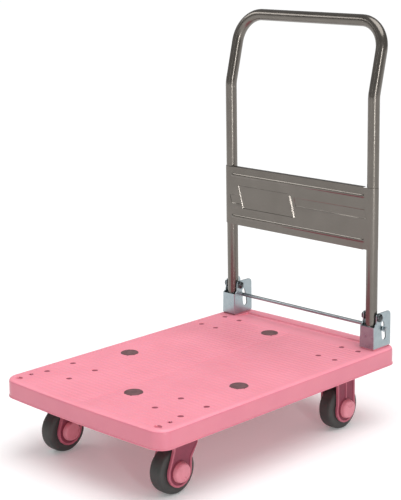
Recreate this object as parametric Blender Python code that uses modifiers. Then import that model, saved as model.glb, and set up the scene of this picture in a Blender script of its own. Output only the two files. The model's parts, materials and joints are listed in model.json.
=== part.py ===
"""Folding platform cart: a moulded deck, a fold-down tube handle, two swivel and two fixed casters.

Metres, +Z up. The origin is on the floor below the middle of the deck. The deck's front is at -X, the
handle stands at +X, and "left" is the pusher's left, -Y.
"""
import math

import bmesh
import bpy
from mathutils import Matrix, Vector

NAME = "folding_platform_cart"

# ---- driving dimensions ----
DECK_LENGTH = 0.720
DECK_WIDTH = 0.468
DECK_HEIGHT = 0.0395        # skirt's lower edge to load surface
DECK_CORNER = 0.030         # corner radius in plan
DECK_BOW_FRONT = 0.006      # how far the middle of the front edge stands ahead of its ends
DECK_BOW_REAR = 0.004
DECK_EDGE_ROUND = 0.008
DECK_WALL = 0.004
DECK_SKIN = 0.0045
RIB_THICKNESS = 0.003
RIB_RECESS = 0.003          # ribs end this far above the skirt's lower edge
SKIRT_DROP = 0.0075         # the skirt hangs this far below the casters' mounting faces
MIDDLE_BAYS = 4             # rib bays between the front and rear casters
PLATE_MARGIN = 0.001        # between a caster's plate and the ribs round it

PAD_DIAMETER = 0.038
PAD_THICKNESS = 0.0025
PAD_PROUD = 0.001
PAD_END_INSET = 0.1225      # end pads, from their end of the deck
PAD_END_SHIFT = 0.033       # end pads, off the centre line
PAD_SIDE_INSET = 0.073      # side pads, from the deck's side
PAD_SIDE_X = -0.070

WHEEL_RADIUS = 0.0475
TYRE_WIDTH = 0.034
TYRE_DEPTH = 0.014          # rubber between core and tread
HUB_RADIUS = 0.012
AXLE_DIAMETER = 0.008
FORK_WIDTH = 0.0470
FORK_PLATE = 0.005
FORK_END_RADIUS = 0.031     # round lower end of a fork's legs
CROWN_CLEARANCE = 0.0135    # tyre to fork crown
CROWN_THICKNESS = 0.0125
RACE_HEIGHT = 0.0089
RACE_DIAMETER = 0.052
PLATE_THICKNESS = 0.003
PLATE_CORNER = 0.008
KINGPIN_DIAMETER = 0.012
KINGPIN_HEAD_R = 0.0085
KINGPIN_HEAD = 0.004
CAP_DIAMETER = 0.043
CAP_HEIGHT = 0.0098
BOLT_HOLE = 0.0086          # caster bolt holes, for M8

SWIVEL_TRAIL = 0.027
SWIVEL_END_INSET = 0.1263   # kingpin from the deck's front end
SWIVEL_SIDE_INSET = 0.0721
SWIVEL_PATTERN = (0.070, 0.070)
SWIVEL_PLATE = (0.092, 0.092)
FIXED_END_INSET = 0.1345    # axle from the deck's rear end
FIXED_SIDE_INSET = 0.0598
FIXED_PATTERN = (0.078, 0.045)
FIXED_PLATE = (0.098, 0.066)
FIXED_LEG_WIDTH = 0.057

TUBE_DIAMETER = 0.0254
TUBE_WALL = 0.0015
HANDLE_HEIGHT = 0.8755      # floor to the top of the handle
POST_SIDE_INSET = 0.0303    # post axis from the deck's side
CRANK_DROP = 0.1537         # the posts lean back over this height below the top bar
CRANK_ANGLE = 14.0          # degrees
CRANK_RADIUS = 0.060
CORNER_RADIUS = 0.062

PANEL_HEIGHT = 0.1363
PANEL_DROP = 0.3428         # top bar axis to the panel's upper edge
PANEL_SHEET = 0.0012
PANEL_WRAP = 100            # degrees that each end goes round its post

PIVOT_HEIGHT = 0.0705       # pivot above the load surface
PIVOT_BACK = 0.003          # pivot behind the post axis
PIVOT_DIAMETER = 0.008
FOOT_OVERHANG = 0.0113      # round foot of a post, beyond the tube's radius
BRACKET_SHEET = 0.0025
BRACKET_END_INSET = 0.0165  # back of the brackets from the deck's rear end
BRACKET_SIDE_GAP = 0.0038   # tube to side plate
BRACKET_FRONT_GAP = 0.0008  # tube to front plate
BRACKET_TOP = 0.0101        # plate above the pivot
PLINTH_HEIGHT = 0.003
PLINTH_INSET = 0.002
FOLD_CLEARANCE = 0.0033     # folded post above the front plate
BRACKET_BEND = 0.004        # outside radius of the bends between front and side plates
BRACKET_BOLT_R = 0.003
BRACKET_BOLT_HEAD_R = 0.0052
BRACKET_BOLT_HEAD = 0.004
BRACKET_BOLT_LENGTH = 0.016 # below the load surface
PIVOT_HEAD_R = 0.0090
PIVOT_DOME_R = 0.0072
PIVOT_HEAD_EDGE = 0.0015    # straight rim of the head
PIVOT_HEAD = 0.005
PIVOT_NUT = 0.0068
PIVOT_THREAD = 0.0035       # how far the pivot bolt reaches into its nut

ROD_DIAMETER = 0.008
ROD_ANGLE = 28.4            # degrees behind straight down, seen from the pivot
ROD_CLEARANCE = 0.0014      # rod to the foot's sweep
ROD_TRAVEL = 0.020
ROD_REACH = 0.009           # rod end beyond the outer plates
SLOT_LEAN = 8.3             # degrees
SLOT_ABOVE = 0.011
SLOT_CLEARANCE = 0.0008
SLOT_LOWER_WIDTH = 0.013
SLOT_REAR_MARGIN = 0.0215   # metal from the rod to the back of the bracket
SPRING_DIAMETER = 0.010
SPRING_WIRE = 0.0012
SPRING_TURNS = 5

GAP = 0.0003                # between pieces that touch
RUNNING_GAP = 0.0004        # around a pin that turns


def steeply_down(degrees):
    """Straight down, turned by an angle towards the cart's rear."""
    return Vector((math.sin(math.radians(degrees)), 0, -math.cos(math.radians(degrees))))


# ---- places worked out from them ----
TUBE_R = TUBE_DIAMETER / 2
CROWN_TOP = 2 * WHEEL_RADIUS + CROWN_CLEARANCE + CROWN_THICKNESS
CASTER_HEIGHT = CROWN_TOP + RACE_HEIGHT + PLATE_THICKNESS + 2 * GAP
DECK_BOTTOM = CASTER_HEIGHT - SKIRT_DROP
DECK_TOP = DECK_BOTTOM + DECK_HEIGHT
HALF_LENGTH = DECK_LENGTH / 2
HALF_WIDTH = DECK_WIDTH / 2
POST_Y = HALF_WIDTH - POST_SIDE_INSET
FOOT_RADIUS = TUBE_R + FOOT_OVERHANG
ROD_R = ROD_DIAMETER / 2
ROD_DISTANCE = FOOT_RADIUS + ROD_CLEARANCE + ROD_R
PLATE_SPACE = TUBE_DIAMETER + 2 * BRACKET_SIDE_GAP
BRACKET_WIDTH = PLATE_SPACE + 2 * BRACKET_SHEET
PIVOT_TO_FRONT = PIVOT_BACK + TUBE_R + BRACKET_FRONT_GAP + BRACKET_SHEET
ROD_OFFSET = steeply_down(ROD_ANGLE) * ROD_DISTANCE
BRACKET_BACK_X = HALF_LENGTH - BRACKET_END_INSET
PIVOT_X = BRACKET_BACK_X - SLOT_REAR_MARGIN - ROD_R - ROD_OFFSET.x
PIVOT_Z = DECK_TOP + PIVOT_HEIGHT
POST_X = PIVOT_X - PIVOT_BACK
BRACKET_FRONT_X = PIVOT_X - PIVOT_TO_FRONT
BRACKET_BOTTOM = DECK_TOP + PLINTH_HEIGHT + GAP
BRACKET_FLOOR = BRACKET_BOTTOM + BRACKET_SHEET
FRONT_PLATE_TOP = PIVOT_Z - PIVOT_BACK - TUBE_R - FOLD_CLEARANCE
BRACKET_TOP_Z = PIVOT_Z + BRACKET_TOP
PIVOT = Vector((PIVOT_X, 0, PIVOT_Z))
ROD = PIVOT + ROD_OFFSET
SLOT_DOWN = steeply_down(SLOT_LEAN)
BAR_Z = HANDLE_HEIGHT - TUBE_R
BAR_X = POST_X + CRANK_DROP * math.tan(math.radians(CRANK_ANGLE))
SWIVEL_X = -HALF_LENGTH + SWIVEL_END_INSET
SWIVEL_Y = HALF_WIDTH - SWIVEL_SIDE_INSET
FIXED_X = HALF_LENGTH - FIXED_END_INSET
FIXED_Y = HALF_WIDTH - FIXED_SIDE_INSET
SIDES = (("left", -1), ("right", 1))

COLLECTION = None
CUTTERS = None


# ---- scene and materials ----
def clear_scene():
    for old in list(bpy.data.objects):
        bpy.data.objects.remove(old, do_unlink=True)


def new_collection(name):
    coll = bpy.data.collections.new(name)
    bpy.context.scene.collection.children.link(coll)
    return coll


def srgb(code):
    channels = [int(code[i:i + 2], 16) / 255 for i in (1, 3, 5)]
    return [c / 12.92 if c <= 0.04045 else ((c + 0.055) / 1.055) ** 2.4 for c in channels] + [1]


def material(name, code, roughness, metallic=0.0):
    mat = bpy.data.materials.new(name)
    mat.use_nodes = True
    shader = mat.node_tree.nodes["Principled BSDF"]
    shader.inputs["Base Color"].default_value = srgb(code)
    shader.inputs["Roughness"].default_value = roughness
    shader.inputs["Metallic"].default_value = metallic
    mat.diffuse_color = srgb(code)
    return mat


# ---- outlines ----
def fillet(corners, step=15.0, closed=True):
    """Points of a line through corners (x, y, z, radius), each rounded by an arc of its radius."""
    points = []
    count = len(corners)
    for i, corner in enumerate(corners):
        here = Vector(corner[:3])
        radius = corner[3]
        at_end = not closed and i in (0, count - 1)
        if at_end or radius == 0:
            points.append(here)
            continue
        back = (Vector(corners[i - 1][:3]) - here).normalized()
        ahead = (Vector(corners[(i + 1) % count][:3]) - here).normalized()
        half = back.angle(ahead) / 2
        start = back * (radius / math.tan(half))
        end = ahead * (radius / math.tan(half))
        centre = (back + ahead).normalized() * (radius / math.sin(half))
        sweep = math.pi - 2 * half
        pieces = max(2, math.ceil(math.degrees(sweep) / step))
        for k in range(pieces + 1):
            t = k / pieces
            turned_by = (start - centre) * math.sin((1 - t) * sweep) + (end - centre) * math.sin(t * sweep)
            points.append(here + centre + turned_by / math.sin(sweep))
    return points


def flat(corners, step=15.0):
    """Fillet in the XY plane, from corners (x, y, radius)."""
    return fillet([(x, y, 0, r) for x, y, r in corners], step)


def rectangle(size_x, size_y, radius):
    x, y = size_x / 2, size_y / 2
    return flat([(-x, -y, radius), (x, -y, radius), (x, y, radius), (-x, y, radius)])


# ---- making meshes ----
def link(name, mesh, mat, place=(0, 0, 0), cutter=False):
    obj = bpy.data.objects.new(name, mesh)
    obj.location = place
    (CUTTERS if cutter else COLLECTION).objects.link(obj)
    if cutter:
        obj.hide_render = True
        obj.display_type = "WIRE"
    else:
        mesh.materials.append(mat)
        mesh.shade_smooth()
        mesh.set_sharp_from_angle(angle=math.radians(35))
    return obj


def mesh_of(bm, name):
    mesh = bpy.data.meshes.new(name)
    bmesh.ops.recalc_face_normals(bm, faces=bm.faces)
    bm.to_mesh(mesh)
    bm.free()
    return mesh


def curve_mesh(curve, name):
    """A curve's shape as a mesh with welded caps; the curve itself is removed."""
    guide = bpy.data.objects.new(name + "_curve", curve)
    CUTTERS.objects.link(guide)
    bpy.context.view_layer.update()
    shape = guide.evaluated_get(bpy.context.evaluated_depsgraph_get())
    mesh = bpy.data.meshes.new_from_object(shape)
    bpy.data.objects.remove(guide, do_unlink=True)
    bm = bmesh.new()
    bm.from_mesh(mesh)
    bmesh.ops.remove_doubles(bm, verts=bm.verts, dist=1e-6)
    return bm


def slab_bm(outline, low, high, name="slab"):
    """A flat outline (in XY) raised from z=low to z=high."""
    curve = bpy.data.curves.new(name, "CURVE")
    curve.dimensions = "2D"
    curve.fill_mode = "BOTH"
    curve.extrude = (high - low) / 2
    spline = curve.splines.new("POLY")
    spline.points.add(len(outline) - 1)
    for point, target in zip(spline.points, outline):
        point.co = (target[0], target[1], 0, 1)
    spline.use_cyclic_u = True
    bm = curve_mesh(curve, name)
    bmesh.ops.dissolve_limit(bm, angle_limit=math.radians(0.5), verts=bm.verts, edges=bm.edges)
    bmesh.ops.translate(bm, verts=bm.verts, vec=(0, 0, (low + high) / 2))
    return bm


def stand_up(bm):
    """Turn an XY outline's slab so that its Y becomes Z and its thickness lies along Y."""
    bmesh.ops.rotate(bm, verts=bm.verts, cent=(0, 0, 0), matrix=Matrix.Rotation(math.pi / 2, 3, "X"))
    return bm


def box_bm(*boxes):
    """Boxes given by their low and high corners, in one mesh."""
    bm = bmesh.new()
    for low, high in boxes:
        low, high = Vector(low), Vector(high)
        size = high - low
        place = Matrix.Translation((low + high) / 2) @ Matrix.Diagonal((*size, 1))
        bmesh.ops.create_cube(bm, size=1, matrix=place)
    return bm


def round_bm(radius, low, high, spots=((0, 0),), sides=24, axis="Z"):
    """Upright cylinders at each (x, y) spot, or along Y at each (x, z) spot."""
    bm = bmesh.new()
    for a, b in spots:
        middle = (low + high) / 2
        place = Matrix.Translation((a, b, middle))
        if axis == "Y":
            place = Matrix.Translation((a, middle, b)) @ Matrix.Rotation(math.pi / 2, 4, "X")
        bmesh.ops.create_cone(bm, cap_ends=True, segments=sides, radius1=radius, radius2=radius,
                              depth=high - low, matrix=place)
    return bm


def turned_bm(profile, steps=24, axis="Z", closed=False):
    """A (radius, height) profile turned round Z, or round Y with its height along Y."""
    bm = bmesh.new()
    verts = [bm.verts.new((r, 0, h)) for r, h in profile]
    edges = [bm.edges.new(pair) for pair in zip(verts, verts[1:])]
    if closed:
        edges.append(bm.edges.new((verts[-1], verts[0])))
    bmesh.ops.spin(bm, geom=verts + edges, cent=(0, 0, 0), axis=(0, 0, 1), dvec=(0, 0, 0),
                   angle=2 * math.pi, steps=steps, use_merge=True)
    bmesh.ops.remove_doubles(bm, verts=bm.verts, dist=1e-6)
    if axis == "Y":
        bmesh.ops.rotate(bm, verts=bm.verts, cent=(0, 0, 0), matrix=Matrix.Rotation(-math.pi / 2, 3, "X"))
    return bm


def flip_y(bm):
    bmesh.ops.scale(bm, verts=bm.verts, vec=(1, -1, 1))
    return bm


def combine(obj, bm, operation, place=(0, 0, 0)):
    """Cut, join or trim obj with the shape in bm."""
    name = f"{obj.name}_{operation.lower()}_{len(obj.modifiers)}"
    tool = link(name, mesh_of(bm, name), None, place, cutter=True)
    modifier = obj.modifiers.new(operation.title(), "BOOLEAN")
    modifier.operation = operation
    modifier.solver = "EXACT"
    modifier.object = tool
    return tool


def cut(obj, bm, place=(0, 0, 0)):
    return combine(obj, bm, "DIFFERENCE", place)


def join(obj, bm, place=(0, 0, 0)):
    return combine(obj, bm, "UNION", place)


def empty(name, place):
    pivot = bpy.data.objects.new(name, None)
    pivot.empty_display_size = 0.02
    pivot.location = place
    COLLECTION.objects.link(pivot)
    return pivot


def attach(obj, pivot):
    """Hang obj on an empty, keeping its place."""
    obj.parent = pivot
    obj.matrix_parent_inverse = Matrix.Translation(-pivot.location)
    return obj


# ---- deck ----
def deck_outline(inset=0.0):
    """Rounded rectangle whose front and rear edges bow outwards."""
    x, y, r = HALF_LENGTH - inset, HALF_WIDTH - inset, max(DECK_CORNER - inset, 0.004)
    bow_points = [y * k / 4 for k in (-2, -1, 0, 1, 2)]
    corners = [(-x, -y, r), (x, -y, r)]
    corners += [(x, b, 0) for b in bow_points]
    corners += [(x, y, r), (-x, y, r)]
    corners += [(-x, -b, 0) for b in bow_points]
    points = []
    for p in flat(corners):
        fall = (p.y / y) ** 2
        if p.x > 0:
            points.append((p.x - DECK_BOW_REAR * fall * max(0, p.x / x) ** 8, p.y))
        else:
            points.append((p.x + DECK_BOW_FRONT * fall * max(0, -p.x / x) ** 8, p.y))
    return points


def caster_spots(pattern, x, y):
    return [(x + sx * pattern[0] / 2, side * y + sy * pattern[1] / 2)
            for side in (-1, 1) for sx in (-1, 1) for sy in (-1, 1)]


def pad_spots():
    """Anti-slip discs: one at each side and one near each end, off the centre line."""
    side_y = HALF_WIDTH - PAD_SIDE_INSET
    return {"front": (-HALF_LENGTH + PAD_END_INSET, -PAD_END_SHIFT),
            "rear": (HALF_LENGTH - PAD_END_INSET, PAD_END_SHIFT),
            "left": (PAD_SIDE_X, -side_y),
            "right": (PAD_SIDE_X, side_y)}


def bay_lines(values):
    return list(zip(values, values[1:]))


def deck_pockets():
    """Rib bays under the deck: deep ones, and shallow ones that leave the casters' mounting blocks."""
    half_rib = RIB_THICKNESS / 2
    margin = half_rib + PLATE_MARGIN
    swivel_block = SWIVEL_PLATE[0] / 2 + margin
    fixed_block = FIXED_PLATE[0] / 2 + margin
    block_x = ((SWIVEL_X - swivel_block, SWIVEL_X + swivel_block),
               (FIXED_X - fixed_block, FIXED_X + fixed_block))
    inner_y = min(SWIVEL_Y - SWIVEL_PLATE[1] / 2, FIXED_Y - FIXED_PLATE[1] / 2) - margin
    outer_y = max(SWIVEL_Y + SWIVEL_PLATE[1] / 2, FIXED_Y + FIXED_PLATE[1] / 2) + margin
    start, end = block_x[0][1], block_x[1][0]
    middle = [start + (end - start) * k / MIDDLE_BAYS for k in range(1, MIDDLE_BAYS)]
    lines_x = [-HALF_LENGTH - 0.01, *block_x[0], *middle, *block_x[1], HALF_LENGTH + 0.01]
    lines_y = [0, inner_y / 2, inner_y, outer_y, HALF_WIDTH + 0.01]
    boxes = []
    for x0, x1 in bay_lines(lines_x):
        for y0, y1 in bay_lines(lines_y):
            is_block = (x0, x1) in block_x and (y0, y1) == (inner_y, outer_y)
            top = CASTER_HEIGHT + GAP if is_block else DECK_TOP - DECK_SKIN
            for side in (-1, 1):
                ys = sorted((side * (y0 + half_rib), side * (y1 - half_rib)))
                low = (x0 + half_rib, ys[0], DECK_BOTTOM - 0.01)
                boxes.append((low, (x1 - half_rib, ys[1], top)))
    return box_bm(*boxes)


def make_deck(mat):
    bm = slab_bm(deck_outline(), DECK_BOTTOM, DECK_TOP, "deck")
    rim = [e for e in bm.edges if all(abs(v.co.z - DECK_TOP) < 1e-6 for v in e.verts)]
    bmesh.ops.bevel(bm, geom=rim, offset=DECK_EDGE_ROUND, segments=3, profile=0.5, affect="EDGES")
    deck = link("deck", mesh_of(bm, "deck"), mat)
    pockets = cut(deck, deck_pockets())
    below_ribs = (DECK_LENGTH, DECK_WIDTH, DECK_BOTTOM + RIB_RECESS)
    join(pockets, box_bm(((-DECK_LENGTH, -DECK_WIDTH, DECK_BOTTOM - 0.02), below_ribs)))
    inside = slab_bm(deck_outline(DECK_WALL), DECK_BOTTOM - 0.015, DECK_TOP, "inside")
    combine(pockets, inside, "INTERSECT")
    width = BRACKET_WIDTH - 2 * PLINTH_INSET
    front, back = BRACKET_FRONT_X + PLINTH_INSET, BRACKET_BACK_X - PLINTH_INSET
    low, high = DECK_TOP - DECK_SKIN / 2, DECK_TOP + PLINTH_HEIGHT
    join(deck, box_bm(*[((front, side * POST_Y - width / 2, low), (back, side * POST_Y + width / 2, high))
                        for _, side in SIDES]))
    spots = list(pad_spots().values())
    seat = PAD_THICKNESS - PAD_PROUD + GAP
    cut(deck, round_bm(PAD_DIAMETER / 2 + GAP, DECK_TOP - seat, DECK_TOP + 0.01, spots, 20))
    holes = caster_spots(SWIVEL_PATTERN, SWIVEL_X, SWIVEL_Y) + caster_spots(FIXED_PATTERN, FIXED_X, FIXED_Y)
    cut(deck, round_bm(BOLT_HOLE / 2, DECK_BOTTOM - 0.01, DECK_TOP + 0.01, holes, 8))
    screws = [(x, side * POST_Y) for _, side in SIDES for x in bracket_bolt_x()]
    cut(deck, round_bm(BRACKET_BOLT_R + GAP, DECK_BOTTOM, DECK_TOP + 0.01, screws, 8))
    return deck


def make_pads(mat):
    for name, (x, y) in pad_spots().items():
        r = PAD_DIAMETER / 2
        low = DECK_TOP - (PAD_THICKNESS - PAD_PROUD)
        top = DECK_TOP + PAD_PROUD
        profile = [(0, low), (r, low), (r, top - 0.0007), (r - 0.0007, top), (0, top)]
        link(f"deck_pad_{name}", mesh_of(turned_bm(profile, 20), "pad"), mat, (x, y, 0))


# ---- handle brackets ----
def bracket_bolt_x():
    """One bolt ahead of the spring and one behind it."""
    spring_x = spring_place().x
    reach = SPRING_DIAMETER / 2 + BRACKET_BOLT_HEAD_R + 0.0025
    return (spring_x - reach, spring_x + reach)


def spring_place():
    return ROD + SLOT_DOWN * (ROD_TRAVEL / 2)


def slot_outline(start, end, width):
    """A long hole from start to end, both (x, z) centres."""
    along = (end - start).normalized()
    across = Vector((-along.z, 0, along.x)) * (width / 2)
    ends = []
    for centre, first in ((start, 1), (end, -1)):
        for k in range(7):
            turn = math.pi * k / 6
            sideways = across * (first * math.cos(turn))
            ends.append(centre + sideways - along * (first * math.sin(turn) * width / 2))
    return [(p.x, p.z) for p in ends]


def bracket_outline():
    """Side view of a bracket, in XZ."""
    edge = BRACKET_FRONT_X + BRACKET_SHEET
    ear = PIVOT_X - PIVOT_DIAMETER / 2 - 0.0055
    corners = [(BRACKET_FRONT_X, BRACKET_BOTTOM, 0.001), (BRACKET_BACK_X, BRACKET_BOTTOM, 0.004),
               (BRACKET_BACK_X, BRACKET_TOP_Z, 0.010), (ear + 0.0015, BRACKET_TOP_Z, 0.006),
               (ear, FRONT_PLATE_TOP + 0.006, 0.008), (edge + 0.001, FRONT_PLATE_TOP + 0.0005, 0),
               (edge, FRONT_PLATE_TOP, 0), (BRACKET_FRONT_X, FRONT_PLATE_TOP, 0)]
    return flat(corners, 18)


def make_bracket(name, side, mat):
    width = BRACKET_WIDTH
    bm = stand_up(slab_bm(bracket_outline(), -width / 2, width / 2, name))
    bends = [e for e in bm.edges if all(abs(v.co.x - BRACKET_FRONT_X) < 1e-5 for v in e.verts)
             and abs(e.verts[0].co.z - e.verts[1].co.z) > 0.02]
    bmesh.ops.bevel(bm, geom=bends, offset=BRACKET_BEND, segments=3, profile=0.5, affect="EDGES")
    bracket = link(name, mesh_of(bm, name), mat, (0, side * POST_Y, 0))
    inner = PLATE_SPACE / 2
    cut(bracket, box_bm(((BRACKET_FRONT_X + BRACKET_SHEET, -inner, BRACKET_FLOOR),
                         (BRACKET_BACK_X + 0.01, inner, BRACKET_TOP_Z + 0.01))), (0, side * POST_Y, 0))
    upper = ROD - SLOT_DOWN * SLOT_ABOVE
    knee = ROD + SLOT_DOWN * (ROD_TRAVEL * 0.35)
    lower = ROD + SLOT_DOWN * ROD_TRAVEL
    narrow = ROD_DIAMETER + 2 * SLOT_CLEARANCE
    for start, end, wide in ((upper, lower, narrow), (knee, lower, SLOT_LOWER_WIDTH)):
        outline = slot_outline(start, end, wide)
        cut(bracket, stand_up(slab_bm(outline, -width, width, "slot")), (0, side * POST_Y, 0))
    hole = round_bm(PIVOT_DIAMETER / 2 + GAP, -width, width, [(PIVOT_X, PIVOT_Z)], 16, "Y")
    cut(bracket, hole, (0, side * POST_Y, 0))
    screws = [(x, 0) for x in bracket_bolt_x()]
    cut(bracket, round_bm(BRACKET_BOLT_R + GAP, BRACKET_BOTTOM - 0.01, BRACKET_FLOOR + 0.001, screws, 12),
        (0, side * POST_Y, 0))


def make_bracket_bolts(side_name, side, mat):
    """Hex bolts through the bracket's floor and the deck's skin."""
    for where, x in zip(("front", "rear"), bracket_bolt_x()):
        seat = BRACKET_FLOOR + GAP
        bm = round_bm(BRACKET_BOLT_HEAD_R, seat, seat + BRACKET_BOLT_HEAD, sides=6)
        bolt = link(f"bracket_bolt_{side_name}_{where}", mesh_of(bm, "bolt"), mat, (x, side * POST_Y, 0))
        shank = round_bm(BRACKET_BOLT_R, DECK_TOP - BRACKET_BOLT_LENGTH, seat + 0.001, sides=10)
        join(bolt, shank, (x, side * POST_Y, 0))


def make_pivot(side_name, side, steel, nylon):
    """Pivot bolt with its head outside, a domed nut inside, and a spacer on each side of the tube."""
    outer = BRACKET_WIDTH / 2
    r = PIVOT_DIAMETER / 2
    place = (PIVOT_X, side * POST_Y, PIVOT_Z)
    head = outer + GAP
    nut = -outer - GAP
    shank_end = nut - PIVOT_THREAD
    profile = [(0, shank_end), (r, shank_end), (r, head), (PIVOT_HEAD_R, head),
               (PIVOT_HEAD_R, head + PIVOT_HEAD_EDGE), (PIVOT_DOME_R, head + 0.8 * PIVOT_HEAD),
               (0, head + PIVOT_HEAD)]
    bolt = turned_bm(profile, 14, "Y")
    profile = [(0, shank_end - GAP), (r + GAP, shank_end - GAP), (r + GAP, nut), (PIVOT_HEAD_R, nut),
               (PIVOT_HEAD_R, nut - 0.3 * PIVOT_NUT), (PIVOT_DOME_R, nut - 0.7 * PIVOT_NUT),
               (0, nut - PIVOT_NUT)]
    cap_nut = turned_bm(profile, 14, "Y")
    if side < 0:
        flip_y(bolt)
        flip_y(cap_nut)
    link(f"pivot_bolt_{side_name}", mesh_of(bolt, "pivot_bolt"), steel, place)
    link(f"pivot_nut_{side_name}", mesh_of(cap_nut, "pivot_nut"), steel, place)
    spacer_r = 0.66 * TUBE_R
    for where, sign in (("outer", 1), ("inner", -1)):
        low, high = TUBE_R + GAP, PLATE_SPACE / 2 - GAP
        hole = r + GAP
        profile = [(hole, low), (spacer_r, low), (spacer_r, high), (hole, high)]
        spacer = turned_bm(profile, 14, "Y", closed=True)
        if sign * side < 0:
            flip_y(spacer)
        link(f"pivot_spacer_{side_name}_{where}", mesh_of(spacer, "spacer"), nylon, place)


# ---- handle ----
def handle_path():
    low = PIVOT_Z - FOOT_RADIUS - 0.003
    bend = BAR_Z - CRANK_DROP
    half = [(POST_X, -POST_Y, low, 0), (POST_X, -POST_Y, bend, CRANK_RADIUS),
            (BAR_X, -POST_Y, BAR_Z, CORNER_RADIUS)]
    other = [(x, -y, z, r) for x, y, z, r in reversed(half)]
    return fillet(half + other, 13.0, closed=False)


def foot_cutter():
    """Everything below a post's round foot."""
    reach = FOOT_RADIUS * 1.5
    arc = [(FOOT_RADIUS * math.cos(math.radians(a)), FOOT_RADIUS * math.sin(math.radians(a)))
           for a in range(200, 341, 10)]
    shoulder = arc[0][1]
    outline = arc + [(reach, shoulder), (reach, -2 * reach), (-reach, -2 * reach), (-reach, shoulder)]
    return stand_up(slab_bm(outline, -TUBE_R - 0.002, TUBE_R + 0.002, "foot"))


def make_handle(paint, pivot):
    curve = bpy.data.curves.new("handle_tube", "CURVE")
    curve.dimensions = "3D"
    curve.bevel_depth = TUBE_R
    curve.bevel_resolution = 4
    curve.use_fill_caps = False
    spline = curve.splines.new("POLY")
    path = handle_path()
    spline.points.add(len(path) - 1)
    for point, target in zip(spline.points, path):
        point.co = (*target, 1)
    bm = curve_mesh(curve, "handle_tube")
    bmesh.ops.translate(bm, verts=bm.verts, vec=-PIVOT)
    tube = link("handle_tube", mesh_of(bm, "handle_tube"), paint, PIVOT)
    wall = tube.modifiers.new("Wall", "SOLIDIFY")
    wall.thickness = TUBE_WALL
    wall.offset = -1
    for _, side in SIDES:
        place = PIVOT + Vector((0, side * POST_Y, 0))
        cut(tube, foot_cutter(), place)
        across = TUBE_R + 0.002
        cut(tube, round_bm(PIVOT_DIAMETER / 2 + RUNNING_GAP, -across, across, sides=16, axis="Y"), place)
    attach(tube, pivot)


def make_panel(paint, pivot):
    """Sheet across the posts' front faces, its ends wrapped round their outer sides."""
    radius = TUBE_R + GAP + PANEL_SHEET / 2
    wrap = math.radians(PANEL_WRAP)
    steps = 10
    half = [(POST_X - radius * math.cos(wrap * k / steps), -POST_Y - radius * math.sin(wrap * k / steps))
            for k in range(steps, -1, -1)]
    plan = half + [(x, -y) for x, y in reversed(half)]
    top = BAR_Z - PANEL_DROP
    bm = bmesh.new()
    verts = [bm.verts.new((x, y, top - PANEL_HEIGHT)) for x, y in plan]
    edges = [bm.edges.new(pair) for pair in zip(verts, verts[1:])]
    raised = bmesh.ops.extrude_edge_only(bm, edges=edges)["geom"]
    bmesh.ops.translate(bm, verts=[v for v in raised if isinstance(v, bmesh.types.BMVert)],
                        vec=(0, 0, PANEL_HEIGHT))
    bmesh.ops.translate(bm, verts=bm.verts, vec=-PIVOT)
    panel = link("handle_panel", mesh_of(bm, "handle_panel"), paint, PIVOT)
    sheet = panel.modifiers.new("Sheet", "SOLIDIFY")
    sheet.thickness = PANEL_SHEET
    sheet.offset = 0
    attach(panel, pivot)


# ---- lock rod ----
def make_lock_rod(zinc, pivot):
    end = POST_Y + BRACKET_WIDTH / 2 + ROD_REACH
    chamfer = 0.001
    profile = [(0, -end), (ROD_R - chamfer, -end), (ROD_R, -end + chamfer), (ROD_R, end - chamfer),
               (ROD_R - chamfer, end), (0, end)]
    rod = link("lock_rod", mesh_of(turned_bm(profile, 16, "Y"), "lock_rod"), zinc, ROD)
    attach(rod, pivot)
    for side_name, side in SIDES:
        low = POST_Y + BRACKET_WIDTH / 2 + 0.0015
        inner, outer = ROD_R + GAP, ROD_R + 0.0032
        profile = [(inner, low), (outer, low), (outer, low + 0.0016), (inner, low + 0.0016)]
        clip = turned_bm(profile, 14, "Y", closed=True)
        if side < 0:
            flip_y(clip)
        attach(link(f"rod_clip_{side_name}", mesh_of(clip, "rod_clip"), zinc, ROD), pivot)


def make_spring(side_name, side, steel):
    """Coil between the bracket's floor and the lock rod."""
    low = BRACKET_FLOOR + GAP + SPRING_WIRE / 2
    high = ROD.z - ROD_R - GAP - SPRING_WIRE / 2
    radius = (SPRING_DIAMETER - SPRING_WIRE) / 2
    per_turn = 10
    count = SPRING_TURNS * per_turn
    curve = bpy.data.curves.new("spring", "CURVE")
    curve.dimensions = "3D"
    curve.bevel_depth = SPRING_WIRE / 2
    curve.bevel_resolution = 0
    curve.use_fill_caps = True
    spline = curve.splines.new("POLY")
    spline.points.add(count)
    for k, point in enumerate(spline.points):
        turn = 2 * math.pi * k / per_turn
        point.co = (radius * math.cos(turn), radius * math.sin(turn), low + (high - low) * k / count, 1)
    mesh = mesh_of(curve_mesh(curve, "spring"), "spring")
    link(f"rod_spring_{side_name}", mesh, steel, (spring_place().x, side * POST_Y, 0))


# ---- casters ----
def swivel_fork_outline():
    """Side view of a swivel fork, in XZ, from the axle. The crown reaches back under the kingpin."""
    r = FORK_END_RADIUS
    top = WHEEL_RADIUS + CROWN_CLEARANCE + CROWN_THICKNESS
    end = [(r * math.cos(math.radians(a)), r * math.sin(math.radians(a)), 0) for a in range(160, 361, 20)]
    rear = SWIVEL_TRAIL + 0.021
    side = [(r + 0.001, 0.022, 0.02), (rear, top - 0.026, 0.008), (rear, top, 0.001),
            (-0.015, top, 0.001), (-0.016, top - 0.028, 0.02)]
    return flat(end + side)


def fixed_fork_outline():
    r = FORK_END_RADIUS
    half = FIXED_LEG_WIDTH / 2
    top = CASTER_HEIGHT - PLATE_THICKNESS - WHEEL_RADIUS
    end = [(r * math.cos(math.radians(a)), r * math.sin(math.radians(a)), 0) for a in range(160, 381, 20)]
    side = [(half, r * 0.75, 0.01), (half, top, 0), (-half, top, 0), (-half, r * 0.75, 0.01)]
    return flat(end + side)


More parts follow.
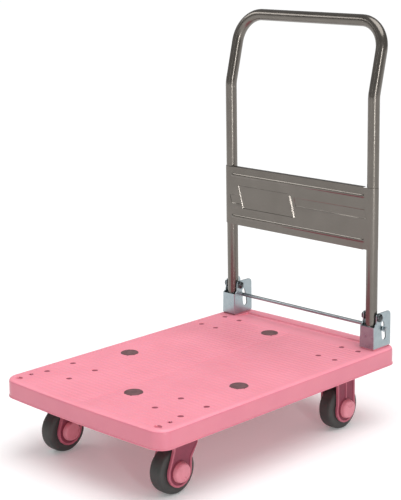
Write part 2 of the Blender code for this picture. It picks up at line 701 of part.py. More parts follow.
def make_fork(name, outline, place, mat, crown_bottom):
    """Two legs and a crown: the side view, hollowed for the wheel and bored for the axle."""
    bm = stand_up(slab_bm(outline, -FORK_WIDTH / 2, FORK_WIDTH / 2, name))
    fork = link(name, mesh_of(bm, name), mat, place)
    space = FORK_WIDTH / 2 - FORK_PLATE
    reach = 3 * FORK_END_RADIUS
    cut(fork, box_bm(((-reach, -space, -reach), (reach, space, crown_bottom))), place)
    cut(fork, round_bm(AXLE_DIAMETER / 2 + GAP, -FORK_WIDTH, FORK_WIDTH, sides=12, axis="Y"), place)
    return fork


def make_wheel(name, place, rubber, plastic):
    """Core and tyre. The core's hub reaches nearly to the fork's legs."""
    core_r = WHEEL_RADIUS - TYRE_DEPTH
    half = TYRE_WIDTH / 2
    hub = FORK_WIDTH / 2 - FORK_PLATE - 0.0008
    bore = AXLE_DIAMETER / 2 + RUNNING_GAP
    hub_r = HUB_RADIUS
    side = [(bore, hub), (hub_r, hub), (hub_r + 0.002, half - 0.006), (core_r, half - 0.003)]
    profile = side + [(r, -h) for r, h in reversed(side)]
    core = turned_bm(profile, 20, "Y", closed=True)
    link(f"{name}_core", mesh_of(core, "core"), plastic, place)
    inner = core_r + GAP
    tread = [(inner, half), (WHEEL_RADIUS - 0.006, half - 0.001), (WHEEL_RADIUS - 0.002, half - 0.005),
             (WHEEL_RADIUS, half - 0.010)]
    profile = tread + [(r, -h) for r, h in reversed(tread)]
    tyre = turned_bm(profile, 28, "Y", closed=True)
    link(f"{name}_tyre", mesh_of(tyre, "tyre"), rubber, place)


def make_axle(name, place, steel):
    end = FORK_WIDTH / 2
    bm = round_bm(AXLE_DIAMETER / 2, -end, end, sides=12, axis="Y")
    return link(f"{name}_axle", mesh_of(bm, "axle"), steel, place)


def make_caps(name, place, plastic):
    low = FORK_WIDTH / 2 + GAP
    high = FORK_WIDTH / 2 + CAP_HEIGHT
    r = CAP_DIAMETER / 2
    profile = [(0, low), (r, low), (r - 0.0025, high - 0.0015), (r - 0.005, high), (0, high + 0.0004)]
    caps = []
    for where, sign in (("left", -1), ("right", 1)):
        bm = turned_bm(profile, 18, "Y")
        if sign < 0:
            flip_y(bm)
        caps.append(link(f"{name}_cap_{where}", mesh_of(bm, "cap"), plastic, place))
    return caps


def make_swivel_caster(side_name, side, mats):
    name = f"swivel_{side_name}"
    pin = Vector((SWIVEL_X, side * SWIVEL_Y, 0))
    hub = pin + Vector((-SWIVEL_TRAIL, 0, WHEEL_RADIUS))
    pivot = empty(f"{name}_pivot", pin)
    crown_bottom = WHEEL_RADIUS + CROWN_CLEARANCE
    fork = make_fork(f"{name}_fork", swivel_fork_outline(), hub, mats["fork"], crown_bottom)
    join(fork, round_bm(RACE_DIAMETER / 2 + 0.001, CROWN_TOP - CROWN_THICKNESS, CROWN_TOP, sides=20), pin)
    pin_r = KINGPIN_DIAMETER / 2
    cut(fork, round_bm(pin_r + RUNNING_GAP, CROWN_TOP - 0.02, CROWN_TOP + 0.01, sides=12), pin)
    attach(fork, pivot)
    attach(make_axle(name, hub, mats["steel"]), pivot)
    for cap in make_caps(name, hub, mats["cap"]):
        attach(cap, pivot)
    make_wheel(name, hub, mats["rubber"], mats["cap"])
    plate_low = CASTER_HEIGHT - PLATE_THICKNESS
    bm = slab_bm(rectangle(*SWIVEL_PLATE, PLATE_CORNER), plate_low, CASTER_HEIGHT, "plate")
    plate = link(f"{name}_plate", mesh_of(bm, "plate"), mats["zinc"], pin)
    spots = caster_spots(SWIVEL_PATTERN, 0, 0)[:4]
    cut(plate, round_bm(BOLT_HOLE / 2, plate_low - 0.01, CASTER_HEIGHT + 0.01, spots, 8), pin)
    pin_hole = pin_r + GAP
    cut(plate, round_bm(pin_hole, plate_low - 0.01, CASTER_HEIGHT + 0.01, sides=12), pin)
    low, high, r = CROWN_TOP + GAP, plate_low - GAP, RACE_DIAMETER / 2
    profile = [(pin_hole, low), (r - 0.004, low), (r, low + 0.002), (r, high - 0.002), (r - 0.002, high),
               (pin_hole, high)]
    link(f"{name}_race", mesh_of(turned_bm(profile, 20, closed=True), "race"), mats["zinc"], pin)
    under = CROWN_TOP - CROWN_THICKNESS - GAP
    foot = under + GAP - KINGPIN_HEAD
    profile = [(0, foot), (KINGPIN_HEAD_R, foot), (KINGPIN_HEAD_R, under), (pin_r, under),
               (pin_r, CASTER_HEIGHT - GAP), (0, CASTER_HEIGHT - GAP)]
    link(f"{name}_kingpin", mesh_of(turned_bm(profile, 12), "kingpin"), mats["steel"], pin)


def make_fixed_caster(side_name, side, mats):
    name = f"fixed_{side_name}"
    hub = Vector((FIXED_X, side * FIXED_Y, WHEEL_RADIUS))
    crown_bottom = WHEEL_RADIUS + CROWN_CLEARANCE
    fork = make_fork(f"{name}_fork", fixed_fork_outline(), hub, mats["fork"], crown_bottom)
    low = CASTER_HEIGHT - PLATE_THICKNESS
    flange = slab_bm(rectangle(*FIXED_PLATE, PLATE_CORNER), low - 0.0005, CASTER_HEIGHT, "plate")
    join(fork, flange, (hub.x, hub.y, 0))
    spots = caster_spots(FIXED_PATTERN, 0, 0)[:4]
    cut(fork, round_bm(BOLT_HOLE / 2, low - 0.01, CASTER_HEIGHT + 0.01, spots, 8), (hub.x, hub.y, 0))
    make_axle(name, hub, mats["steel"])
    make_caps(name, hub, mats["cap"])
    make_wheel(name, hub, mats["rubber"], mats["cap"])


def build():
    global COLLECTION, CUTTERS
    clear_scene()
    COLLECTION = new_collection(NAME)
    CUTTERS = new_collection("cutters")
    mats = {
        "deck": material("pink_polypropylene", "#F08FA2", 0.45),
        "pad": material("brown_rubber", "#8A5F62", 0.7),
        "paint": material("grey_metallic_paint", "#8B8680", 0.35, 0.6),
        "zinc": material("zinc_plate", "#9AA6AB", 0.3, 1.0),
        "steel": material("bright_steel", "#B5B9BC", 0.3, 1.0),
        "nylon": material("black_nylon", "#26282A", 0.5),
        "rubber": material("dark_grey_rubber", "#3F4240", 0.55),
        "fork": material("rose_nylon", "#B0606F", 0.5),
        "cap": material("rose_cap", "#DA8090", 0.45),
    }
    make_deck(mats["deck"])
    make_pads(mats["pad"])
    handle_pivot = empty("handle_pivot", PIVOT)
    make_handle(mats["paint"], handle_pivot)
    make_panel(mats["paint"], handle_pivot)
    rod_guide = empty("lock_rod_guide", ROD)
    make_lock_rod(mats["zinc"], rod_guide)
    for side_name, side in SIDES:
        make_bracket(f"bracket_{side_name}", side, mats["zinc"])
        make_bracket_bolts(side_name, side, mats["steel"])
        make_pivot(side_name, side, mats["steel"], mats["nylon"])
        make_spring(side_name, side, mats["steel"])
        make_swivel_caster(side_name, side, mats)
        make_fixed_caster(side_name, side, mats)


build()
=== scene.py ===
import json
import math

import bmesh
import bpy
from mathutils import Matrix, Vector


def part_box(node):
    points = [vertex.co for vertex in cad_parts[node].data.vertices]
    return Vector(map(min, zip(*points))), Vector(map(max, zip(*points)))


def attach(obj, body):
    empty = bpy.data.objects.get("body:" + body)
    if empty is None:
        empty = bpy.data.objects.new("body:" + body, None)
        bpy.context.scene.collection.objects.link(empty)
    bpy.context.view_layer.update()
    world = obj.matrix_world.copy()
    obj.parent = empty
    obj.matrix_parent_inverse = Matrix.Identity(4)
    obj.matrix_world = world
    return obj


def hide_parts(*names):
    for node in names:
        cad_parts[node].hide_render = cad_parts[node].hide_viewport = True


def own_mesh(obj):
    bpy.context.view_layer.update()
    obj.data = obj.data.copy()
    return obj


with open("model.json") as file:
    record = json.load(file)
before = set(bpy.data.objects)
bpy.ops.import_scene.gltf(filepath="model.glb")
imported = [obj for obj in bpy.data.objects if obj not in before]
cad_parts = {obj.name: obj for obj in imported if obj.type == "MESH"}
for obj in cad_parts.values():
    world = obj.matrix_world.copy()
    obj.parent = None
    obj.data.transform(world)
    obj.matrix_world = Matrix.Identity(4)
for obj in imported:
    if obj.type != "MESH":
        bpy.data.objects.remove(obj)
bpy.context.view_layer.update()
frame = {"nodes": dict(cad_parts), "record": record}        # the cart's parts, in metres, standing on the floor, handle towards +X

BODY = {node: body for body, nodes in frame["record"]["behaviour"]["bodies"].items() for node in nodes}
SIDES = (("left", -1), ("right", 1))
UP = Vector((0, 0, 1))
Y = Vector((0, 1, 0))
MM = 0.001


# ---- finishes ----
def linear(code):
    """An sRGB hex colour as the linear numbers a shader takes."""
    channels = [int(code[i:i + 2], 16) / 255 for i in (1, 3, 5)]
    return [c / 12.92 if c <= 0.04045 else ((c + 0.055) / 1.055) ** 2.4 for c in channels] + [1]


def add(tree, kind, inputs=None, links=None, **settings):
    """One more node, with its settings, its input values and its links."""
    made = tree.nodes.new(kind)
    for name, value in settings.items():
        setattr(made, name, value)
    for socket, value in (inputs or {}).items():
        made.inputs[socket].default_value = value
    for socket, source in (links or {}).items():
        tree.links.new(source, made.inputs[socket])
    return made


def finish(name, dark, light, cloud, gloss, grain, relief, metallic=0.0, stretch=(1, 1, 1), **sockets):
    """A surface whose colour drifts between two tones over `cloud` mm, whose roughness drifts between the
    two values of `gloss`, and which has a grain `grain` mm across and `relief` mm deep."""
    made = bpy.data.materials.new(name)
    made.use_nodes = True
    tree = made.node_tree
    shader = tree.nodes["Principled BSDF"]
    shader.inputs["Metallic"].default_value = metallic
    for socket, value in sockets.items():
        shader.inputs[socket.replace("_", " ")].default_value = value
    place = add(tree, "ShaderNodeTexCoord").outputs["Object"]
    drawn = add(tree, "ShaderNodeMapping", {"Scale": stretch}, {"Vector": place}).outputs["Vector"]
    drift = add(tree, "ShaderNodeTexNoise", {"Scale": 1 / (cloud * MM), "Detail": 4.0, "Roughness": 0.55},
                {"Vector": drawn})
    tones = add(tree, "ShaderNodeValToRGB", links={"Fac": drift.outputs["Fac"]})
    tones.color_ramp.elements[0].position = 0.35
    tones.color_ramp.elements[0].color = linear(dark)
    tones.color_ramp.elements[1].position = 0.65
    tones.color_ramp.elements[1].color = linear(light)
    tree.links.new(tones.outputs["Color"], shader.inputs["Base Color"])
    speck = add(tree, "ShaderNodeTexNoise", {"Scale": 1 / (grain * MM), "Detail": 3.0, "Roughness": 0.6},
                {"Vector": drawn})
    shine = add(tree, "ShaderNodeMapRange", {"From Min": 0.35, "From Max": 0.65, "To Min": gloss[0],
                                             "To Max": gloss[1]}, {"Value": drift.outputs["Fac"]})
    tree.links.new(shine.outputs["Result"], shader.inputs["Roughness"])
    dents = add(tree, "ShaderNodeBump", {"Strength": 1.0, "Distance": relief * MM},
                {"Height": speck.outputs["Fac"]})
    tree.links.new(dents.outputs["Normal"], shader.inputs["Normal"])
    return made


# Polypropylene, injection moulded: a soft satin skin with a fine spark-eroded grain, slightly uneven in
# tone where the melt met. The grain is drawn at 1.4 mm so that it shows.
deck_plastic = finish("moulded_polypropylene", "#F293A4", "#F698A9", 110, (0.36, 0.46), 1.4, 0.015,
                      Subsurface_Weight=0.06, Subsurface_Scale=0.004)
# The drafted sides of the skirt, moulded against polished steel, so glossier than the top; their deeper
# tone is painted shade.
skirt_plastic_painted_shade = finish("polypropylene_skirt_wall_painted_shade", "#D67A8C", "#DB8191", 90, (0.30, 0.40), 1.4, 0.01,
                       Subsurface_Weight=0.06, Subsurface_Scale=0.004)
# The floors of the two nearly round drain recesses, darkened as painted shade.
recess_painted_shade = finish("polypropylene_recess_floor_painted_shade", "#C06878", "#CE7687", 8, (0.5, 0.62), 1.0, 0.02)
# Polypropylene plugs in the bolt recesses and the front holes: darker, a painted shade for the recesses
# that they sit in.
plug_painted_shade = finish("polypropylene_plug_painted_shade", "#8E3F50", "#9C4A5B", 5, (0.55, 0.68), 1.0, 0.03)
# Moulded nitrile rubber discs: matt, close-grained, a little dusty.
pad_rubber = finish("moulded_nitrile_rubber", "#5F4245", "#775558", 14, (0.68, 0.82), 1.1, 0.09)
# Metallic powder coat on steel: aluminium flake under a clear film, with a fine orange peel of about 2 mm.
metallic_paint = finish("metallic_powder_coat", "#6C6761", "#726D67", 40, (0.20, 0.26), 2.2, 0.003,
                        metallic=0.9, Coat_Weight=0.2, Coat_Roughness=0.1)
# Bright zinc plate on pressed sheet: cold blue-grey, faintly clouded by the passivating bath.
zinc = finish("zinc_plated_steel", "#9BA7AC", "#A8B3B7", 14, (0.27, 0.35), 1.2, 0.004, metallic=1.0)
# Zinc plate on drawn bar, with drawing lines along the bar.
drawn_zinc = finish("zinc_plated_drawn_bar", "#98A0A3", "#A9B0B3", 9, (0.27, 0.34), 0.8, 0.003,
                    metallic=1.0, stretch=(1, 0.08, 1))
# Black-oxide pivot bolts and nuts: dark, oily grey with small bright edges.
dark_steel = finish("black_oxide_steel", "#47494B", "#5A5C5E", 5, (0.24, 0.34), 0.8, 0.006, metallic=1.0)
# Nickel-bright fasteners: nearly mirror smooth, with a slight haze.
bright_steel = finish("nickel_plated_steel", "#A9ADB0", "#C6C9CB", 4, (0.16, 0.28), 0.7, 0.006,
                      metallic=1.0)
# Black polyamide spacers: matt and slightly grainy.
black_nylon = finish("moulded_black_polyamide", "#1E2022", "#2B2D2F", 6, (0.45, 0.6), 0.8, 0.03)
# Thermoplastic rubber tread: dark warm grey, satin, with a fine moulded skin and a trace of dust.
tyre_rubber = finish("moulded_thermoplastic_rubber", "#343433", "#3E3D3B", 16, (0.48, 0.6), 1.0, 0.03)
# Glass-filled nylon forks: a duller, coarser pink than the deck, since the fibres break up the gloss.
fork_nylon = finish("glass_filled_nylon", "#AC5568", "#B86173", 18, (0.42, 0.56), 0.9, 0.03)
# The sunk field of a fork's leg, from a rougher patch of the mould; its darker colour is painted shade.
field_painted_shade_nylon = finish("glass_filled_nylon_rough_field_painted_shade", "#7F3146", "#8C3C50", 14, (0.58, 0.72), 1.1, 0.06)
# The ring in the groove round a hub cap: dark, as painted shade in the groove.
seat_painted_shade = finish("nylon_seat_ring_painted_shade", "#7A2A3C", "#8A3648", 6, (0.5, 0.65), 1.0, 0.03)
# Gloss polypropylene hub caps: smoother than the forks, so they take a soft highlight.
cap_plastic = finish("gloss_polypropylene", "#D07A88", "#DA8593", 20, (0.26, 0.36), 1.2, 0.01)
# Wheel cores in the same plastic, satin.
core_plastic = finish("satin_polypropylene", "#D27C8B", "#DC8896", 14, (0.4, 0.52), 1.0, 0.02)


# ---- modelling ----
def alone(obj):
    """Only this object selected, and active."""
    bpy.ops.object.select_all(action="DESELECT")
    obj.select_set(True)
    bpy.context.view_layer.objects.active = obj


def settle(obj):
    """The object's place goes into its mesh."""
    alone(obj)
    bpy.ops.object.transform_apply(location=True, rotation=True, scale=True)


def start(primitive, name, scale=(1, 1, 1), **settings):
    """A primitive at its size and place."""
    bpy.ops.object.select_all(action="DESELECT")
    primitive(**settings)
    obj = bpy.context.object
    obj.name = obj.data.name = name
    obj.scale = scale
    settle(obj)
    return obj


def edit(obj):
    alone(obj)
    bpy.ops.object.mode_set(mode="EDIT")
    bpy.ops.mesh.select_all(action="SELECT")


def leave():
    """Doubles merged and normals outwards, then back to object mode."""
    bpy.ops.mesh.select_all(action="SELECT")
    bpy.ops.mesh.remove_doubles(threshold=1e-6)
    bpy.ops.mesh.normals_make_consistent(inside=False)
    bpy.ops.object.mode_set(mode="OBJECT")


def pick(obj, kind, test):
    """Selects the vertices, edges or faces that pass a test, in edit mode."""
    bpy.ops.mesh.select_mode(type=kind)
    bpy.ops.mesh.select_all(action="DESELECT")
    mesh = bmesh.from_edit_mesh(obj.data)
    for item in {"VERT": mesh.verts, "EDGE": mesh.edges, "FACE": mesh.faces}[kind]:
        item.select_set(bool(test(item)))
    mesh.select_flush_mode()
    bmesh.update_edit_mesh(obj.data)


def pull(offset):
    bpy.ops.mesh.extrude_region_move(TRANSFORM_OT_translate={"value": offset})


def apply(obj, kind, **settings):
    alone(obj)
    modifier = obj.modifiers.new(kind.title(), kind)
    for name, value in settings.items():
        setattr(modifier, name, value)
    bpy.ops.object.modifier_apply(modifier=modifier.name)


def carve(obj, tool, operation="DIFFERENCE"):
    apply(obj, "BOOLEAN", operation=operation, solver="EXACT", object=tool)
    bpy.data.objects.remove(tool, do_unlink=True)


def joined(pieces):
    """Several objects as one."""
    bpy.ops.object.select_all(action="DESELECT")
    for piece in pieces:
        piece.select_set(True)
    bpy.context.view_layer.objects.active = pieces[0]
    bpy.ops.object.join()
    return pieces[0]


def soften(obj, width, segments=2, angle=38):
    """Broken edges: a small round on every sharp edge."""
    apply(obj, "BEVEL", width=width, segments=segments, limit_method="ANGLE",
          angle_limit=math.radians(angle), harden_normals=False, use_clamp_overlap=True)


def shade(obj, angle=35, weighted=True):
    alone(obj)
    bpy.ops.object.shade_smooth_by_angle(angle=math.radians(angle))
    if weighted:
        apply(obj, "WEIGHTED_NORMAL", keep_sharp=True, weight=60)


def block(name, low, high):
    low, high = Vector(low), Vector(high)
    return start(bpy.ops.mesh.primitive_cube_add, name, size=1, location=(low + high) / 2, scale=high - low)


def rod(name, centre, radius, length, axis, sides=24):
    turn = {"X": (0, math.pi / 2, 0), "Y": (math.pi / 2, 0, 0), "Z": (0, 0, 0)}[axis]
    return start(bpy.ops.mesh.primitive_cylinder_add, name, vertices=sides, radius=radius, depth=length,
                 location=centre, rotation=turn)


def turned(name, profile, centre, axis, sides=48, ring=False):
    """A round piece, drawn out from a circle through (radius, distance along the axis) points. A ring's
    profile comes back to its start."""
    centre = Vector(centre)
    across = (math.pi / 2, 0, 0) if axis.y else (0, 0, 0)
    radius, height = profile[0]
    obj = start(bpy.ops.mesh.primitive_circle_add, name, vertices=sides, radius=radius,
                fill_type="NOTHING" if ring else "NGON", location=centre + axis * height, rotation=across)
    edit(obj)
    for next_radius, next_height in profile[1:] + (profile[:1] if ring else []):
        pull(axis * (next_height - height))
        grow = next_radius / radius
        bpy.ops.transform.resize(value=[1 if axis[i] else grow for i in range(3)],
                                 center_override=centre + axis * next_height)
        radius, height = next_radius, next_height
    leave()
    return obj


def score(place, normal):
    """A line of edges where a plane crosses the mesh, in edit mode."""
    bpy.ops.mesh.select_all(action="SELECT")
    bpy.ops.mesh.bisect(plane_co=place, plane_no=normal)


def plate(name, outline, thickness):
    """A flat outline, walked from corner to corner, filled, and pulled out to its thickness."""
    points = [Vector(p) for p in outline]
    obj = start(bpy.ops.mesh.primitive_plane_add, name, size=MM, location=points[0])
    edit(obj)
    bpy.ops.mesh.select_mode(type="VERT")
    bpy.ops.mesh.select_all(action="SELECT")
    bpy.ops.mesh.merge(type="CENTER")
    for here, there in zip(points, points[1:]):
        pull(there - here)
    bpy.ops.mesh.select_all(action="SELECT")
    bpy.ops.mesh.edge_face_add()
    pull(thickness)
    leave()
    return obj


def worked_copy(node, name):
    """A merged copy of a part's mesh, with its flat faces whole again, to be worked further."""
    source = frame["nodes"][node]
    obj = bpy.data.objects.new(name, source.data.copy())
    obj.data.name = name
    bpy.context.scene.collection.objects.link(obj)
    edit(obj)
    bpy.ops.mesh.remove_doubles(threshold=2e-6)
    bpy.ops.mesh.dissolve_limited(angle_limit=math.radians(0.4))
    bpy.ops.object.mode_set(mode="OBJECT")
    return obj


def arc(centre, radius, first, last, step):
    """Points of an arc in the XZ plane, from one angle to another, in degrees."""
    count = max(1, round(abs(last - first) / step))
    angles = [math.radians(first + (last - first) * k / count) for k in range(count + 1)]
    return [Vector((centre[0] + radius * math.cos(a), centre[1], centre[2] + radius * math.sin(a)))
            for a in angles]


def hand_over(obj, slot, material, *nodes, body=None):
    """A finished piece: its material, its slot (not used), the part that it stands for, and the body that
    it rides.
    """
    settle(obj)
    if not obj.data.materials or material is not None:
        obj.data.materials.clear()
        obj.data.materials.append(material)
    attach(obj, body or BODY[nodes[0]])
    if nodes:
        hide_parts(*nodes)


def middle(node):
    low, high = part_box(node)
    return (low + high) / 2


# ---- places taken from the parts ----
DECK_LOW, DECK_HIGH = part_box("deck")
SKIRT_Z = DECK_LOW.z
DECK_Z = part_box("deck_pad_left")[1].z - 1.0 * MM          # load surface: the discs stand 1 mm proud
TUBE_LOW, TUBE_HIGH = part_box("handle_tube")
TUBE_R = 12.7 * MM
TUBE_WALL = 1.5 * MM
POST_X, POST_Y = TUBE_LOW.x + TUBE_R, TUBE_HIGH.y - TUBE_R
BAR_X, BAR_Z = TUBE_HIGH.x - TUBE_R, TUBE_HIGH.z - TUBE_R
PIVOT = middle("pivot_bolt_left")
BRACKET_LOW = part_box("bracket_right")[0]
HUBS = {f"{kind}_{side}": middle(f"{kind}_{side}_axle")
        for kind in ("swivel", "fixed") for side, _ in SIDES}
AXLE_LOW, AXLE_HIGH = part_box("fixed_left_axle")
FORK_HALF = (AXLE_HIGH.y - AXLE_LOW.y) / 2
PLATE_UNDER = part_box("swivel_left_plate")[0].z
WHEEL_R = HUBS["fixed_left"].z

# the handle's bends
CRANK_ANGLE = math.radians(14)
CRANK_RADIUS = 60 * MM
CORNER_RADIUS = 62 * MM
FOOT_RADIUS = 24 * MM


# ---- deck ----
SWIVEL_PATTERN = (35 * MM, 35 * MM)      # half the bolt spacing, along and across
FIXED_PATTERN = (39 * MM, 22.5 * MM)
MARKS_Y = 205.4 * MM                     # the front holes and the drain recesses, from the middle
HOLE_X, HOLE_R = DECK_LOW.x + 55 * MM, 5.4 * MM
DRAIN_X, DRAIN_LONG, DRAIN_WIDE = DECK_LOW.x + 24.4 * MM, 18 * MM, 14 * MM


def caster_bolt_spots():
    spots = []
    for side, _ in SIDES:
        for centre, (dx, dy) in ((middle(f"swivel_{side}_plate"), SWIVEL_PATTERN),
                                 (middle(f"fixed_{side}_fork"), FIXED_PATTERN)):
            spots += [(centre.x + sx * dx, centre.y + sy * dy) for sx in (-1, 1) for sy in (-1, 1)]
    return spots


def cut_grooves(deck):
    """Fine grooves across the deck, up to the brackets, and the seam along its middle."""
    pitch, groove_r, groove_depth = 12 * MM, 2.6 * MM, 0.8 * MM
    side_margin, front_margin, rear_margin = 13 * MM, 22 * MM, 16 * MM
    seam_r, seam_rise = 2.4 * MM, 1.0 * MM
    first, last = DECK_LOW.x + front_margin, BRACKET_LOW.x - rear_margin
    grooves = rod("grooves", (first, 0, DECK_Z + groove_r - groove_depth), groove_r,
                  2 * (DECK_HIGH.y - side_margin), "Y", 8)
    apply(grooves, "ARRAY", count=int((last - first) / pitch) + 1, use_relative_offset=False,
          use_constant_offset=True, constant_offset_displace=(pitch, 0, 0))
    carve(deck, grooves)
    seam = rod("seam", ((first + last) / 2, 0, DECK_Z + seam_rise), seam_r, last - first, "X", 8)
    carve(deck, seam)


def sink_recesses(deck):
    """Recesses over the caster bolts, and a hole and a drain recess near each front corner."""
    bolt_r, bolt_depth, drain_depth = 6.6 * MM, 1.3 * MM, 3 * MM
    dents = [rod("dent", (x, y, DECK_Z), bolt_r, 2 * bolt_depth, "Z", 20) for x, y in caster_bolt_spots()]
    for _, side in SIDES:
        dents.append(rod("dent", (HOLE_X, side * MARKS_Y, DECK_Z), HOLE_R, 2 * drain_depth, "Z", 20))
        dents.append(start(bpy.ops.mesh.primitive_cylinder_add, "dent", vertices=24, radius=DRAIN_WIDE / 2,
                           depth=2 * drain_depth, location=(DRAIN_X, side * MARKS_Y, DECK_Z),
                           scale=(1, DRAIN_LONG / DRAIN_WIDE, 1)))
    carve(deck, joined(dents))


def cut_cove(deck):
    """A cove across the rear, from its step at the rim to where it runs out level."""
    rim_wide, past_bracket, beside_bracket = 33 * MM, 8 * MM, 3.5 * MM
    overlap, above = 0.4 * MM, 5 * MM
    rim_x, cove_x = DECK_HIGH.x - rim_wide, BRACKET_LOW.x - past_bracket
    inner = BRACKET_LOW.y - beside_bracket
    run = rim_x - cove_x
    # share of the way to the rim, and depth in mm
    fall = [(0.0, 0.02), (0.25, 0.35), (0.5, 1.25), (0.72, 2.4), (0.88, 3.1), (1.0, 3.2)]
    outline = [(cove_x + run * t, -inner, DECK_Z - depth * MM) for t, depth in fall]
    outline += [(rim_x + overlap, -inner, DECK_Z + above), (cove_x, -inner, DECK_Z + above)]
    carve(deck, plate("cove", outline, Vector((0, 2 * inner, 0))))


def paint_deck(deck):
    """The skirt's walls, the front holes and the drain recesses take finishes of their own, in darker
    colours that are painted shade.
    """
    steep, wall_band, corner_reach, under_round = 0.45, 9 * MM, 20 * MM, 5 * MM
    floor_low, floor_high = DECK_Z - 3.5 * MM, DECK_Z - 1.5 * MM
    deck.data.materials.clear()
    for made in (deck_plastic, skirt_plastic_painted_shade, plug_painted_shade, recess_painted_shade):
        deck.data.materials.append(made)
    for face in deck.data.polygons:
        spot = face.center
        in_x, in_y = DECK_HIGH.x - abs(spot.x), DECK_HIGH.y - abs(spot.y)
        upright = abs(face.normal.z) < steep and spot.z < DECK_Z - under_round
        sunk = floor_low < spot.z < floor_high and abs(abs(spot.y) - MARKS_Y) < DRAIN_LONG / 2
        if upright and (min(in_x, in_y) < wall_band or max(in_x, in_y) < corner_reach):
            face.material_index = 1
        elif sunk and abs(spot.x - HOLE_X) < HOLE_R:
            face.material_index = 2
        elif sunk and abs(spot.x - DRAIN_X) < DRAIN_WIDE / 2:
            face.material_index = 3


def make_deck():
    deck = worked_copy("deck", "deck_moulding")
    cut_grooves(deck)
    sink_recesses(deck)
    cut_cove(deck)
    paint_deck(deck)
    shade(deck, 42)
    hand_over(deck, "deck_plastic", None, "deck")


def make_lip():
    """The bead along the skirt's lower edge."""
    height, proud = 2.6 * MM, 0.9 * MM
    lip = worked_copy("deck", "deck_lip")
    edit(lip)
    bpy.ops.mesh.bisect(plane_co=(0, 0, SKIRT_Z + height), plane_no=UP, use_fill=True, clear_outer=True,
                        threshold=1e-6)
    bpy.ops.mesh.select_all(action="SELECT")
    bpy.ops.transform.resize(value=(1 + proud / DECK_HIGH.x, 1 + proud / DECK_HIGH.y, 1),
                             center_override=(0, 0, SKIRT_Z))
    leave()
    soften(lip, 0.6 * MM, 2, 60)
    shade(lip)
    # The bead takes the skirt walls' darker colour, which is painted shade.
    hand_over(lip, "deck_plastic", skirt_plastic_painted_shade, body="base")


def make_plugs():
    """The moulded-in caps over the caster bolts, a little below the load surface, in a darker colour that
    paints the shade of their recesses.
    """
    sunk, deep, r, brim = 0.75 * MM, 5 * MM, 4.15 * MM, 6.2 * MM
    profile = [(r - 0.3 * MM, -deep), (r, -deep + 0.3 * MM), (r, -1.25 * MM), (brim, -1.25 * MM),
               (brim, -sunk - 0.2 * MM), (brim - 0.2 * MM, -sunk), (r * 0.6, -sunk - 0.15 * MM),
               (r * 0.1, -sunk - 0.2 * MM)]
    for number, (x, y) in enumerate(caster_bolt_spots(), 1):
        plug = turned(f"deck_plug_{number:02d}", profile, (x, y, DECK_Z), UP, 20)
        shade(plug)
        hand_over(plug, "deck_plastic", plug_painted_shade, body="base")


def make_pads():
    for where in ("front", "rear", "left", "right"):
        node = f"deck_pad_{where}"
        low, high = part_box(node)
        r, tall = (high.x - low.x) / 2, high.z - low.z
        profile = [(r, 0), (r, tall - 0.9 * MM), (r - 0.3 * MM, tall - 0.35 * MM), (r - 0.9 * MM, tall),
                   (r - 2.6 * MM, tall), (r - 2.9 * MM, tall - 0.3 * MM), (r - 3.6 * MM, tall - 0.3 * MM),
                   (r - 3.9 * MM, tall), (r * 0.3, tall), (r * 0.05, tall)]
        centre = (low + high) / 2
        pad = turned(f"anti_slip_disc_{where}", profile, (centre.x, centre.y, low.z), UP, 56)
        shade(pad)
        hand_over(pad, "anti_slip_rubber", pad_rubber, node)


# ---- handle ----
def make_handle_tube():
    """One post, from its foot through the crank and the corner to the middle of the bar, then mirrored."""
    spare = 3 * MM                       # cut away again when the foot is rounded
    foot_z = PIVOT.z - FOOT_RADIUS - spare
    lean = Vector((math.sin(CRANK_ANGLE), 0, math.cos(CRANK_ANGLE)))
    drop = (BAR_X - POST_X) / math.tan(CRANK_ANGLE)
    bend_z = BAR_Z - drop
    tangent = CRANK_RADIUS * math.tan(CRANK_ANGLE / 2)
    straight = drop / math.cos(CRANK_ANGLE) - tangent - CORNER_RADIUS
    foot = Vector((POST_X, -POST_Y, foot_z))
    tube = start(bpy.ops.mesh.primitive_circle_add, "handle_frame", vertices=32, radius=TUBE_R,
                 fill_type="NOTHING", location=foot)
    edit(tube)
    pull(UP * (bend_z - tangent - foot_z))
    bpy.ops.mesh.spin(steps=6, angle=-CRANK_ANGLE, axis=Y,
                      center=(POST_X + CRANK_RADIUS, -POST_Y, bend_z - tangent))
    pull(lean * straight)
    corner = Vector((BAR_X, -POST_Y, BAR_Z)) - lean * CORNER_RADIUS
    bpy.ops.mesh.spin(steps=16, angle=-math.pi / 2, axis=lean.cross(Y),
                      center=corner + Y * CORNER_RADIUS)
    pull(Y * (POST_Y - CORNER_RADIUS))
    leave()
    apply(tube, "MIRROR", use_axis=(False, True, False), merge_threshold=1e-5)
    edit(tube)
    leave()
    apply(tube, "SOLIDIFY", thickness=TUBE_WALL, offset=-1)
    # each foot: cut round below the pivot, and drilled for it
    round_from, reach, hole_r = -17.5 * MM, 40 * MM, 4.4 * MM
    for _, side in SIDES:
        here = Vector((PIVOT.x, side * POST_Y, PIVOT.z))
        below = block("foot", here + Vector((-reach, -reach / 2, -reach)),
                      here + Vector((reach, reach / 2, round_from)))
        carve(below, rod("round_foot", here, FOOT_RADIUS, 2 * reach, "Y", 64))
        carve(tube, below)
        carve(tube, rod("pivot_hole", here, hole_r, 2 * reach, "Y", 24))
    shade(tube)
    hand_over(tube, "grey_paint", metallic_paint, "handle_tube")


